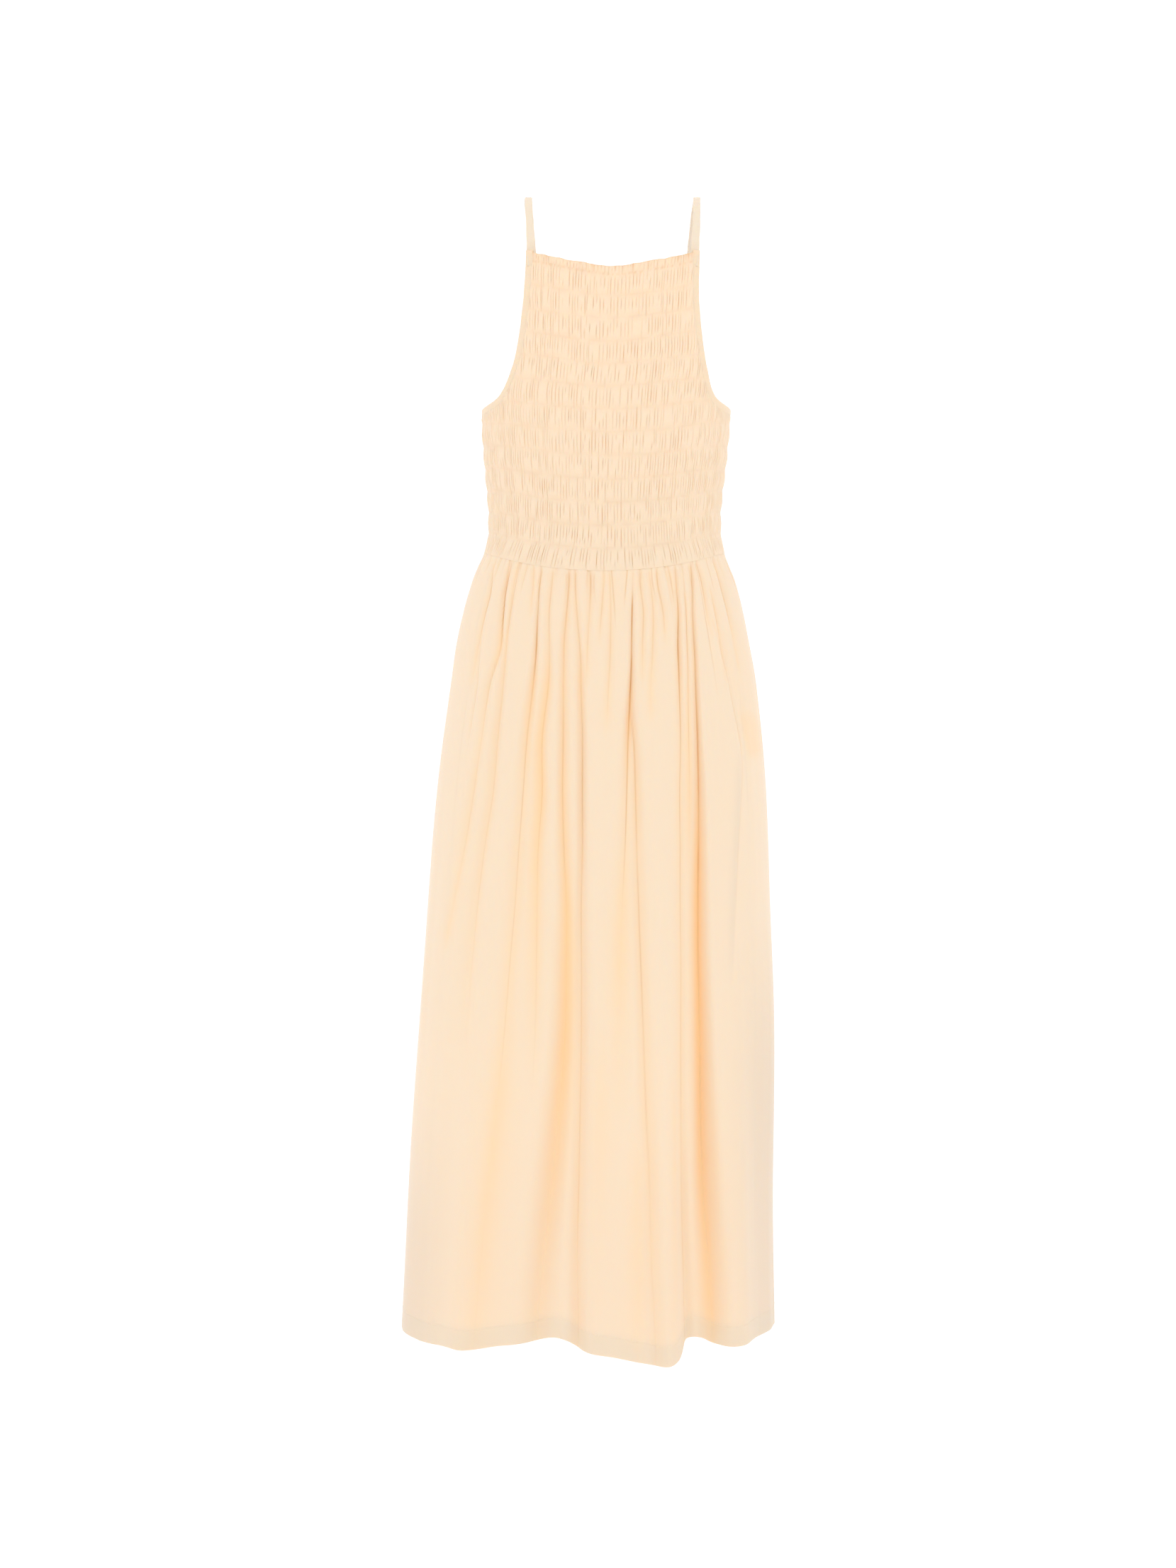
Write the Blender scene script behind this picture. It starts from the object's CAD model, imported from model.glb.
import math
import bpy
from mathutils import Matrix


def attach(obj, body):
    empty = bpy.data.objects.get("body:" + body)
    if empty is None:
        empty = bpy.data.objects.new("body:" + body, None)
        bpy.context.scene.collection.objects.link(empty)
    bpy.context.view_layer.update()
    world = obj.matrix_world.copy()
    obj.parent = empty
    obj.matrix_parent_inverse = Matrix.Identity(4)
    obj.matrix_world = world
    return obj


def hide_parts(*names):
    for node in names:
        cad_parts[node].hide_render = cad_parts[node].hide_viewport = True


bl_info = {
    "name": "Smocked dress",
    "version": (1, 0, 0),
    "blender": (4, 5, 0),
    "location": "View3D > Sidebar > Dress",
    "description": "A long smocked cotton dress, open as it is worn, on a pale studio floor",
    "category": "Add Mesh",
}

from collections import namedtuple

import bpy
import numpy as np
from mathutils import Vector

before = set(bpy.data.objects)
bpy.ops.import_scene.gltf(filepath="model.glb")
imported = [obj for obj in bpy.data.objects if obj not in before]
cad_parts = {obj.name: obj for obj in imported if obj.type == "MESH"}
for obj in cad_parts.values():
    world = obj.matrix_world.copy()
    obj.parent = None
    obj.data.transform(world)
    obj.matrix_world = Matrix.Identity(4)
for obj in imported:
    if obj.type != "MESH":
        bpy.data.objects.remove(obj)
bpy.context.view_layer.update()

MM = 0.001
BODY = "root"

# Level sections of the open dress in millimetres: lean is the sideways shift, half the half width,
# front and back the depths from the plane of the side seams.
Section = namedtuple("Section", "z lean half front back")
FIGURE = [
    Section(20, 0, 148, 62, 60),
    Section(-72, 0, 146, 84, 74),
    Section(-128, -2, 143, 97, 86),
    Section(-200, -3.6, 141, 109, 92),
    Section(-242, -6.9, 140.3, 112, 92),
    Section(-300, -8.1, 136, 109, 86),
    Section(-360, -8.9, 130.3, 100, 80),
    Section(-395, -8.9, 131.5, 96, 80),
    Section(-408, -9.3, 136, 97, 83),
    Section(-424, -10, 143, 101, 88),
    Section(-438, -10, 148.6, 107, 94),
    Section(-470, -10.5, 157.6, 118, 106),
    Section(-510, -10.9, 165.6, 129, 117),
    Section(-552, -10.3, 171.8, 138, 127),
    Section(-665, -12.2, 185, 153, 143),
    Section(-806, -15.3, 193.8, 163, 154),
    Section(-940, -18, 201.4, 169, 162),
    Section(-1135, -25.1, 206.2, 174, 170),
    Section(-1300, -28.4, 211.8, 176, 176),
]

# Bodice rows, heights in millimetres
NECK_Z = -96.2
NECK_RISE = 21.5
NECK_POWER = 1.4
FIRST_ROW = 9.0
ROW_PITCH = 25.35
FRONT_BANDS = 13
BACK_BANDS = 7
FRONT_WAIST_RISE = 27.0
BACK_WAIST_RISE = 6.0
SIDE_WAIST_Z = NECK_Z - FIRST_ROW - FRONT_BANDS * ROW_PITCH + FRONT_WAIST_RISE
BACK_TOP_Z = SIDE_WAIST_Z - BACK_WAIST_RISE + FIRST_ROW + BACK_BANDS * ROW_PITCH

# Armhole edge from the front corner under the arm to the strap at the back
ArmPlace = namedtuple("ArmPlace", "turn z")
ARMHOLE = [
    ArmPlace(40.9, -73.5),
    ArmPlace(41.1, -90),
    ArmPlace(42.3, -128),
    ArmPlace(44.3, -160),
    ArmPlace(47.2, -191),
    ArmPlace(51, -214),
    ArmPlace(54.4, -228),
    ArmPlace(59.5, -238),
    ArmPlace(70, -243.4),
    ArmPlace(90, -244.5),
    ArmPlace(106, -241.5),
    ArmPlace(119, -235),
    ArmPlace(132, -229),
    ArmPlace(143.4, -226),
]
TURN_GIRTH = 115.0  # millimetres of cloth in one radian of turn, near the armholes

# Middle line of a strap, out from the middle of the figure
StrapPlace = namedtuple("StrapPlace", "out y z wide")
STRAP = [
    StrapPlace(91.2, -69.2, -92, 8.4),
    StrapPlace(91.4, -67, -83, 9),
    StrapPlace(91.8, -63.6, -72.5, 9.2),
    StrapPlace(92.4, -61.6, -60, 9),
    StrapPlace(93.4, -55.5, -41, 8.6),
    StrapPlace(94.4, -44, -22, 8.2),
    StrapPlace(95, -28, -8, 8),
    StrapPlace(95.2, -12, -3.4, 8),
    StrapPlace(95.2, 4, -2.2, 8),
    StrapPlace(94.6, 20, -3.4, 8),
    StrapPlace(93.2, 36, -12, 8),
    StrapPlace(91.2, 50, -29, 8),
    StrapPlace(88.8, 60, -52, 8),
    StrapPlace(86, 67, -84, 8),
    StrapPlace(83, 71.5, -128, 8.2),
    StrapPlace(80, 73.4, -180, 8.6),
    StrapPlace(77.4, 73.4, -212, 9),
    StrapPlace(76.6, 72.6, -240, 9),
]

# Skirt folds. share is the place across the half width as it is seen, deep how far the cloth
# sinks there (below 0 it stands out) and wide the fold's half width, in millimetres. line is how
# dark a sharp line runs along the fold's bottom, and glow how orange the light is in it. skew
# above 0 makes the wall on the wearer's left wider than the other.
HEM_Z = -1284.0
SKIRT_LENGTH = SIDE_WAIST_Z - HEM_Z
SKIRT_SEAM = math.radians(60)
SEEN_TO_TRUE = 0.955  # near cloth looks wider than the outline that the shares are counted on
Fold = namedtuple("Fold", "skew track")
Crease = namedtuple("Crease", "z share deep wide line glow", defaults=[0.3])


def fold(skew, *track):
    return Fold(skew, [Crease(*row) for row in track])


FRONT_FOLDS = [
    fold(0, (-428, -0.885, 2, 3.5, 0.3), (-455, -0.845, 4, 4.5, 0.8), (-480, -0.85, 4, 5, 0.6),
         (-520, -0.865, 3, 8, 0.15), (-560, -0.89, 0, 9, 0)),
    fold(0, (-425, -0.74, 3, 3.5, 0.4), (-450, -0.73, 6, 4, 1.1), (-480, -0.71, 7, 4.5, 1.5, 0.4),
         (-520, -0.7, 6, 5, 0.4, 0.6), (-560, -0.75, 6, 6, 0.5), (-620, -0.77, 3, 8, 0.15),
         (-680, -0.79, 4, 9, 0.25), (-740, -0.82, 4, 11, 0.15), (-850, -0.9, 0, 14, 0)),
    fold(0, (-425, -0.685, 2, 3.5, 0.4), (-450, -0.68, 3, 4, 0.2), (-480, -0.665, 4, 4, 0.3),
         (-520, -0.66, 6, 5, 0.2, 0.4), (-560, -0.66, 6, 6, 0.25), (-620, -0.66, 7, 8, 0.3),
         (-680, -0.66, 7, 10, 0.25), (-740, -0.69, 7, 12, 0.2), (-800, -0.71, 7, 13, 0.2, 0.25),
         (-860, -0.72, 6, 15, 0.1, 0.2), (-940, -0.72, 4, 16, 0, 0.1), (-1000, -0.7, 0, 18, 0, 0)),
    fold(0, (-425, -0.555, 3, 3, 0.4), (-450, -0.53, 3, 3.5, 0.25), (-485, -0.52, 0, 5, 0)),
    fold(0.2, (-420, -0.485, 3, 3, 0.4), (-450, -0.48, 4, 3, 0.9, 0.2), (-480, -0.465, 5, 3, 0.7, 0.2),
         (-520, -0.453, 6, 3.5, 1.6, 0.3), (-560, -0.46, 8, 5, 0.6, 0.6), (-620, -0.477, 7, 7, 0.5, 0.5),
         (-680, -0.48, 6, 9, 0.45), (-740, -0.487, 6, 11, 0.3), (-800, -0.49, 6, 12, 0.3),
         (-860, -0.5, 5, 13, 0.25), (-940, -0.51, 5, 15, 0.2), (-1020, -0.525, 5, 18, 0, 0.4),
         (-1202, -0.567, 8, 22, 0.05, 0.38), (-1290, -0.58, 9, 22, 0, 0.2)),
    fold(-0.2, (-425, -0.4, 2, 3, 0.15), (-450, -0.39, 3, 3.5, 0.4), (-480, -0.385, 4, 4, 0.45),
         (-520, -0.365, 5, 4.5, 0.3), (-560, -0.36, 8, 7, 0.4, 0.6), (-620, -0.38, 9, 9, 0.45, 0.7),
         (-680, -0.363, 9, 11, 0.35, 0.7), (-740, -0.373, 7, 12, 0.25, 0.6),
         (-800, -0.365, 5, 12, 0.15, 0.5), (-860, -0.355, 4, 12, 0.2, 0.4),
         (-940, -0.345, 3, 12, 0.1, 0.2), (-1020, -0.35, 0, 14, 0, 0)),
    fold(0.25, (-420, -0.28, 3, 3, 0.6), (-450, -0.262, 5, 3.5, 0.75), (-480, -0.26, 6, 4, 0.55, 0.4),
         (-520, -0.267, 6, 4.5, 0.5, 0.4), (-560, -0.265, 6, 5.5, 0.4, 0.5),
         (-620, -0.25, 7, 6, 0.6, 0.5), (-680, -0.24, 7, 7, 0.45, 0.6), (-740, -0.22, 8, 8, 0.4, 0.6),
         (-800, -0.195, 9, 9, 0.15, 0.8), (-860, -0.185, 12, 12, 0.1, 0.8),
         (-940, -0.18, 15, 13, 0.1, 0.8), (-1049, -0.2, 19, 16, 0.05, 0.6),
         (-1202, -0.25, 21, 17, 0.05, 0.35), (-1290, -0.27, 22, 17, 0.05, 0.2)),
    fold(0, (-420, -0.225, 3, 3, 0.6), (-450, -0.215, 4, 3.5, 0.7), (-480, -0.19, 5, 4, 0.45),
         (-520, -0.16, 6, 4, 0.6), (-560, -0.15, 7, 4.5, 0.4, 0.5), (-620, -0.13, 8, 5, 0.65),
         (-680, -0.12, 8, 5, 0.65), (-740, -0.11, 8, 5.5, 0.45), (-800, -0.108, 8, 6, 0.45),
         (-860, -0.1, 8, 6.5, 0.4), (-940, -0.09, 8, 7, 0.4), (-1020, -0.08, 9, 8, 0.35),
         (-1100, -0.07, 10, 8, 0.4), (-1180, -0.065, 12, 9, 0.2), (-1250, -0.052, 15, 9, 0.15, 0.2),
         (-1290, -0.05, 16, 10, 0.1, 0.2)),
    fold(0, (-425, -0.115, 3, 3, 0.2), (-450, -0.1, 4, 3.5, 0.8), (-480, -0.1, 4, 4, 0.2),
         (-520, -0.11, 4, 4, 0.25), (-560, -0.12, 0, 6, 0)),
    fold(0, (-440, 0, 2, 3, 0.2), (-480, -0.015, 3, 3.5, 0.4), (-515, -0.03, 0, 4, 0)),
    fold(0, (-430, 0.04, 2, 3, 0.25), (-480, 0.05, 3, 4, 0.3), (-520, 0.045, 4, 4, 0.35),
         (-560, 0.03, 3, 5, 0.25), (-610, 0.02, 0, 7, 0)),
    fold(0, (-430, 0.225, 2, 3, 0.2), (-455, 0.212, 3, 3, 0.3, 0.1), (-480, 0.2, 5, 3, 2, 0.1),
         (-520, 0.187, 6, 3, 1.1, 0.2), (-560, 0.172, 8, 3.5, 2.3, 0.4), (-600, 0.16, 9, 5, 1, 0.7),
         (-640, 0.152, 7, 6, 0.7, 0.5), (-680, 0.147, 6, 8, 0.7), (-740, 0.14, 6, 10, 0.5),
         (-790, 0.13, 6, 12, 0.1, 0.4), (-860, 0.12, 5, 14, 0, 0.4), (-940, 0.12, 4, 16, 0, 0.2),
         (-1060, 0.13, 0, 20, 0, 0)),
    fold(0, (-590, 0.175, 0, 4, 0), (-620, 0.19, 5, 4.5, 0.5), (-680, 0.2, 7, 6, 0.55, 0.4),
         (-740, 0.208, 7, 7, 0.45), (-800, 0.22, 8, 8, 0.5), (-860, 0.23, 8, 8, 0.55),
         (-940, 0.245, 8, 9, 0.35), (-1020, 0.265, 9, 10, 0.35), (-1100, 0.29, 11, 11, 0.2),
         (-1180, 0.303, 13, 12, 0.15), (-1250, 0.32, 15, 12, 0.15, 0.2), (-1290, 0.325, 15, 12, 0.1, 0.2)),
    fold(0, (-425, 0.295, 3, 3, 0.3), (-450, 0.27, 4, 3.5, 0.4), (-480, 0.28, 4, 4, 0.6),
         (-520, 0.262, 4, 4, 0.25), (-560, 0.25, 0, 6, 0)),
    fold(0, (-430, 0.345, 2, 3, 0.1), (-480, 0.35, 4, 4, 0.4), (-520, 0.33, 4, 4, 0.35),
         (-560, 0.305, 2, 6, 0.1), (-600, 0.3, 0, 7, 0)),
    fold(0, (-425, 0.41, 3, 3, 0.5), (-450, 0.4, 4, 3.5, 0.7), (-480, 0.42, 4, 4, 0.5),
         (-515, 0.425, 0, 5, 0)),
    fold(0, (-425, 0.5, 2, 3, 0.25), (-450, 0.51, 3, 3.5, 0.6), (-475, 0.52, 0, 4, 0)),
    fold(-0.3, (-425, 0.555, 4, 3, 0.5), (-450, 0.54, 5, 3.5, 0.5), (-480, 0.528, 6, 4, 1.1, 0.4),
         (-520, 0.5, 8, 4, 1.6, 0.4), (-560, 0.49, 7, 5, 1.1, 0.4), (-620, 0.485, 5, 6, 0.5),
         (-680, 0.47, 5, 7, 0.5), (-740, 0.47, 5, 7.5, 0.5), (-800, 0.468, 5, 8, 0.4),
         (-860, 0.468, 6, 9, 0.35), (-940, 0.462, 6, 9, 0.4), (-1020, 0.47, 8, 10, 0.35),
         (-1100, 0.483, 11, 10, 0.3), (-1180, 0.493, 14, 11, 0.3), (-1250, 0.498, 16, 12, 0.2, 0.2),
         (-1290, 0.5, 16, 12, 0.2, 0.2)),
    fold(0, (-455, 0.6, 2, 3, 0.2), (-480, 0.59, 4, 4, 0.8), (-520, 0.57, 5, 4, 0.7),
         (-560, 0.555, 4, 5, 0.4, 0.4), (-620, 0.54, 3, 8, 0.35, 0.5), (-680, 0.535, 3, 10, 0.1, 0.5),
         (-740, 0.53, 2, 11, 0, 0.3), (-820, 0.53, 0, 11, 0, 0)),
    fold(-0.65, (-425, 0.69, 3, 3.5, 0.5), (-450, 0.66, 5, 4, 0.7), (-480, 0.632, 6, 4, 0.6),
         (-520, 0.615, 7, 4, 0.8, 0.4), (-560, 0.602, 7, 4.5, 0.9, 0.4), (-620, 0.595, 8, 5, 0.8, 0.5),
         (-680, 0.589, 10, 7, 0.8, 0.6), (-740, 0.582, 12, 9, 0.9, 0.9), (-800, 0.575, 14, 11, 0.7, 1),
         (-860, 0.571, 15, 12, 0.6, 1), (-940, 0.575, 17, 13, 0.25, 1), (-1020, 0.59, 19, 15, 0.35, 0.9),
         (-1100, 0.61, 20, 17, 0.2, 0.9), (-1180, 0.63, 20, 19, 0.1, 0.9),
         (-1250, 0.64, 20, 21, 0.05, 0.8), (-1290, 0.645, 20, 21, 0, 0.5)),
    fold(0, (-425, 0.74, 3, 3.5, 0.45), (-450, 0.74, 4, 4, 0.6), (-480, 0.74, 3, 5, 0.1),
         (-505, 0.76, 0, 6, 0)),
    fold(0, (-455, 0.8, 2, 3.5, 0.15), (-480, 0.8, 4, 4, 0.35), (-520, 0.81, 3, 5, 0.12),
         (-560, 0.82, 0, 7, 0)),
    fold(0, (-425, 0.89, 3, 4, 0.5), (-450, 0.885, 5, 5, 0.75), (-480, 0.895, 5, 6, 0.5),
         (-510, 0.91, 3, 8, 0.1), (-550, 0.92, 0, 9, 0)),
    fold(0, (-495, -0.86, 0, 3, 0), (-520, -0.855, 1.5, 3, 0.2, 0.1), (-560, -0.84, 2, 3, 0.3, 0.1),
         (-600, -0.85, 1.5, 3, 0.15, 0.1), (-640, -0.86, 0, 3, 0, 0)),
    fold(0, (-490, 0.785, 0, 3, 0), (-520, 0.812, 1.5, 3, 0.2, 0.1), (-570, 0.838, 1.5, 3, 0.25, 0.1),
         (-624, 0.876, 1.5, 3.5, 0.3, 0.1), (-655, 0.885, 0, 4, 0, 0)),
    fold(0, (-640, 0.882, 0, 3, 0, 0), (-655, 0.878, 0.4, 3, 0.25, 0), (-725, 0.84, 0.5, 3, 0.2, 0),
         (-800, 0.81, 0.3, 3, 0.12, 0), (-850, 0.79, 0, 3, 0, 0)),
    fold(0, (-900, 0.03, 0, 14, 0, 0), (-1020, 0.035, 0, 16, 0, 0.2), (-1150, 0.04, 0, 18, 0, 0.1),
         (-1290, 0.04, 0, 18, 0, 0)),
    fold(0, (-1020, 0.235, 0, 12, 0, 0), (-1100, 0.24, 0, 14, 0, 0.25), (-1200, 0.25, 0, 16, 0, 0.3),
         (-1290, 0.25, 0, 16, 0, 0.15)),
    fold(0, (-940, 0.435, 0, 9, 0, 0), (-1050, 0.44, 0, 10, 0, 0.25), (-1180, 0.45, 0, 12, 0, 0.25),
         (-1290, 0.45, 0, 12, 0, 0.1)),
    fold(0, (-940, 0.63, 0, 10, 0, 0), (-1050, 0.66, 1, 10, 0, 0.3), (-1120, 0.68, 1, 12, 0, 0.35),
         (-1202, 0.7, 1, 13, 0, 0.3), (-1290, 0.71, 1, 14, 0, 0.2)),
    fold(0, (-560, -0.62, 0, 30, 0, 0), (-910, -0.62, -6, 38, 0, 0), (-1290, -0.66, -14, 44, 0, 0)),
    fold(0, (-560, 0.24, 0, 34, 0, 0), (-910, 0.28, -10, 40, 0, 0), (-1290, 0.3, -30, 46, 0, 0)),
    fold(0, (-800, 0.8, 0, 20, 0, 0), (-1290, 0.82, -14, 24, 0, 0)),
]

# The back is hidden, so its folds repeat the front's kinds.
BACK_FOLDS = [
    fold(0, (-430, -0.93, 3, 4, 0.5), (-500, -0.92, 6, 6, 0.4), (-665, -0.9, 8, 10, 0.3),
         (-910, -0.9, 10, 15, 0.1), (-1290, -0.9, 12, 20, 0)),
    fold(0.2, (-430, -0.8, 3, 3.5, 0.7), (-500, -0.8, 7, 5, 0.9), (-665, -0.77, 8, 9, 0.6, 0.5),
         (-910, -0.72, 13, 14, 0.4, 0.6), (-1290, -0.7, 26, 22, 0.2)),
    fold(0, (-430, -0.66, 3, 3.5, 0.5), (-500, -0.64, 6, 4.5, 0.4), (-665, -0.62, 4, 8, 0.2),
         (-850, -0.6, 0, 12, 0)),
    fold(0, (-430, -0.5, 3, 3, 0.7), (-500, -0.5, 8, 4, 1.1, 0.4), (-665, -0.46, 9, 7, 0.6, 0.5),
         (-910, -0.42, 10, 11, 0.4), (-1290, -0.38, 18, 18, 0.1)),
    fold(0, (-430, -0.36, 3, 3, 0.5), (-500, -0.34, 6, 4, 0.6), (-665, -0.32, 6, 7, 0.4),
         (-960, -0.3, 0, 12, 0)),
    fold(-0.3, (-430, -0.2, 3, 3, 0.6), (-500, -0.18, 8, 4, 1.3, 0.4), (-665, -0.14, 10, 7, 0.8, 0.6),
         (-910, -0.12, 17, 14, 0.4, 0.8), (-1290, -0.1, 36, 22, 0.1, 0.2)),
    fold(0, (-430, -0.04, 3, 3, 0.5), (-500, -0.03, 6, 4, 0.7), (-665, 0, 7, 7, 0.5),
         (-910, 0.02, 5, 13, 0.1), (-1290, 0.04, 2, 16, 0)),
    fold(0, (-430, 0.12, 3, 3, 0.6), (-500, 0.14, 8, 4, 1, 0.4), (-665, 0.18, 9, 6, 0.6),
         (-910, 0.2, 9, 9, 0.4), (-1290, 0.24, 15, 15, 0.2)),
    fold(0, (-430, 0.3, 3, 3, 0.5), (-500, 0.3, 5, 4, 0.5), (-665, 0.32, 3, 7, 0.3),
         (-850, 0.34, 0, 10, 0)),
    fold(0.3, (-430, 0.46, 3, 3.5, 0.6), (-500, 0.48, 8, 4, 1.2, 0.4), (-665, 0.5, 10, 7, 0.7, 0.7),
         (-910, 0.52, 16, 13, 0.4, 0.9), (-1290, 0.54, 34, 22, 0.1, 0.2)),
    fold(0, (-430, 0.62, 3, 3.5, 0.5), (-500, 0.64, 6, 4.5, 0.6), (-665, 0.66, 6, 8, 0.3),
         (-960, 0.68, 0, 13, 0)),
    fold(0, (-430, 0.78, 3, 3.5, 0.6), (-500, 0.79, 7, 5, 0.8), (-665, 0.8, 8, 8, 0.5, 0.4),
         (-910, 0.8, 12, 12, 0.3, 0.5), (-1290, 0.8, 20, 19, 0.1)),
    fold(0, (-430, 0.93, 3, 4, 0.5), (-500, 0.93, 5, 5, 0.4), (-910, 0.93, 8, 12, 0.1),
         (-1290, 0.93, 12, 18, 0)),
]

# Height of the hem above HEM_Z across the front
HemPlace = namedtuple("HemPlace", "share lift")
HEM_LIFT = [
    HemPlace(-1, -4),
    HemPlace(-0.86, -3.4),
    HemPlace(-0.71, -1.2),
    HemPlace(-0.62, -2.4),
    HemPlace(-0.45, 6),
    HemPlace(-0.3, 10.5),
    HemPlace(-0.18, 17),
    HemPlace(-0.11, 14.5),
    HemPlace(-0.02, 3.5),
    HemPlace(0.14, -1),
    HemPlace(0.26, -6.5),
    HemPlace(0.38, -14),
    HemPlace(0.455, -10),
    HemPlace(0.49, -3),
    HemPlace(0.525, 11),
    HemPlace(0.6, 10),
    HemPlace(0.72, -2),
    HemPlace(0.86, 0.5),
    HemPlace(1, 1),
]


# Sizes and colours that a user would change


class DressCloth(bpy.types.PropertyGroup):
    """Colours of the cotton, thread and studio."""

    lit: bpy.props.StringProperty(
        name="Cotton", description="sRGB colour of the cotton where it lies open", default="F0D8BF"
    )
    deep: bpy.props.StringProperty(
        name="Cotton in folds",
        description="sRGB colour of the cotton where light reaches it through other cloth",
        default="FCCB92",
    )
    crease: bpy.props.StringProperty(
        name="Cotton in a crease", description="sRGB colour at the bottom of a sharp crease",
        default="DAAA76",
    )
    pale: bpy.props.StringProperty(
        name="Cotton against the light",
        description="sRGB colour of the narrow straps, which light reaches from all sides",
        default="FAE8D6",
    )
    double: bpy.props.StringProperty(
        name="Double cotton",
        description="sRGB colour of the cotton where a second layer behind it stops the light",
        default="E2CDB7",
    )
    thread: bpy.props.StringProperty(
        name="Thread", description="sRGB colour of the sewing thread", default="F0D8BF"
    )
    floor: bpy.props.StringProperty(
        name="Floor", description="sRGB colour of the studio floor", default="FFFFFF"
    )


class DressBodice(bpy.types.PropertyGroup):
    """Sizes of the shirring."""

    gather: bpy.props.FloatProperty(
        name="Gather", description="Cloth between two gathers", default=2.9 * MM, unit="LENGTH"
    )
    puff: bpy.props.FloatProperty(
        name="Puff", description="How far a band stands out between its rows", default=2.1 * MM,
        unit="LENGTH",
    )
    crease: bpy.props.FloatProperty(
        name="Crease", description="Depth of a gather's crease", default=1.5 * MM, unit="LENGTH"
    )
    wall: bpy.props.FloatProperty(
        name="Wall", description="Thickness of the shirred cloth", default=0.7 * MM, unit="LENGTH"
    )


class DressSkirt(bpy.types.PropertyGroup):
    """Sizes of the skirt, its hem and its pockets."""

    wall: bpy.props.FloatProperty(
        name="Wall", description="Thickness of the skirt's cloth", default=0.7 * MM, unit="LENGTH"
    )
    pleats: bpy.props.IntProperty(
        name="Pleats", description="Small pleats between the front's long folds", default=18
    )
    back_pleats: bpy.props.IntProperty(
        name="Back pleats", description="Small pleats between the back's long folds", default=40
    )
    hem: bpy.props.FloatProperty(
        name="Hem", description="Height of the turned hem", default=24 * MM, unit="LENGTH"
    )


class DressTrim(bpy.types.PropertyGroup):
    """Sizes of the binding, the straps and the stitches."""

    binding: bpy.props.FloatProperty(
        name="Binding", description="Width of the armhole binding", default=7 * MM, unit="LENGTH"
    )
    strap: bpy.props.FloatProperty(
        name="Strap", description="Thickness of a strap", default=2.0 * MM, unit="LENGTH"
    )
    stitch: bpy.props.FloatProperty(
        name="Stitch", description="Length of a stitch", default=2.4 * MM, unit="LENGTH"
    )


class DressStage(bpy.types.PropertyGroup):
    """The studio."""

    floor_z: bpy.props.FloatProperty(
        name="Floor", description="Height of the floor below the shoulders", default=-1.75,
        unit="LENGTH",
    )
    distance: bpy.props.FloatProperty(
        name="Distance", description="From the camera to the plane of the side seams", default=3.0,
        unit="LENGTH",
    )
    key: bpy.props.FloatProperty(name="Key light", description="Its power in watts", default=5.0)
    sky: bpy.props.FloatProperty(name="Sky", description="Strength of the white room", default=1.11)


# Curves and places

NOISE_LINE_CELLS = 4096
NOISE_FIELD_CELLS = (97, 1024)


def value_at(keys, values, place):
    """A smooth curve through a short table, held at its ends."""
    keys = np.asarray(keys, float)
    values = np.asarray(values, float)
    if keys[0] > keys[-1]:
        keys = keys[::-1]
        values = values[::-1]
    place = np.clip(place, keys[0], keys[-1])
    i = np.clip(np.searchsorted(keys, place) - 1, 0, len(keys) - 2)
    slopes = np.gradient(values, keys) if len(keys) > 2 else np.zeros(2)
    slopes[1:-1] = (values[2:] - values[:-2]) / (keys[2:] - keys[:-2])
    span = keys[i + 1] - keys[i]
    t = (place - keys[i]) / span
    return (
        values[i] * (1 + 2 * t) * (1 - t) ** 2
        + slopes[i] * span * t * (1 - t) ** 2
        + values[i + 1] * t * t * (3 - 2 * t)
        + slopes[i + 1] * span * t * t * (t - 1)
    )


def column(table, name):
    """One field of every row of a table."""
    return [getattr(row, name) for row in table]


def smooth_step(place, low, high):
    """Rises smoothly from 0 at low to 1 at high."""
    t = np.clip((place - low) / (high - low), 0, 1)
    return t * t * (3 - 2 * t)


def ramp(place, start, full, fall, end):
    """Rises from 0 at start to 1 at full, and falls again from fall to end."""
    return smooth_step(place, start, full) * (1 - smooth_step(place, fall, end))


def bump_at(distance, reach):
    """1 where the distance is 0, and near 0 beyond twice the reach."""
    return np.exp(-((distance / reach) ** 2))


def section(z):
    """Sideways shift, half width, front depth and back depth of the figure at a height."""
    return [value_at(column(FIGURE, "z"), column(FIGURE, name), z) for name in FIGURE[0]._fields[1:]]


def section_at(turn, z):
    """Sideways shift, half width and depth of the figure on the side that turn faces."""
    lean, half, front, back = section(z)
    return lean, half, np.where(np.cos(turn) > 0, front, back)


def girth_per_turn(turn, z):
    """Millimetres of cloth in one radian of turn."""
    _, half, depth = section_at(turn, z)
    return np.hypot(half * np.cos(turn), depth * np.sin(turn))


def figure_place(turn, z, out):
    """Places on the figure; turn 0 is the centre front and a right angle the wearer's left."""
    lean, half, depth = section_at(turn, z)
    across = np.sin(turn)
    along = -np.cos(turn)
    nx = across / half
    ny = along / depth
    size = np.hypot(nx, ny)
    x = lean + half * across + nx / size * out
    y = depth * along + ny / size * out
    return np.stack(np.broadcast_arrays(x, y, z), axis=-1)


def noise_line(place, pitch, seed):
    """Smooth uneven values between -1 and 1 along a line, changing about once per pitch."""
    cell = np.floor(place / pitch).astype(int)
    ease = smooth_step(place / pitch - cell, 0, 1)
    values = np.random.RandomState(seed).uniform(-1, 1, NOISE_LINE_CELLS)
    here, after = (values[(cell + k) % NOISE_LINE_CELLS] for k in (0, 1))
    return here * (1 - ease) + after * ease


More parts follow.
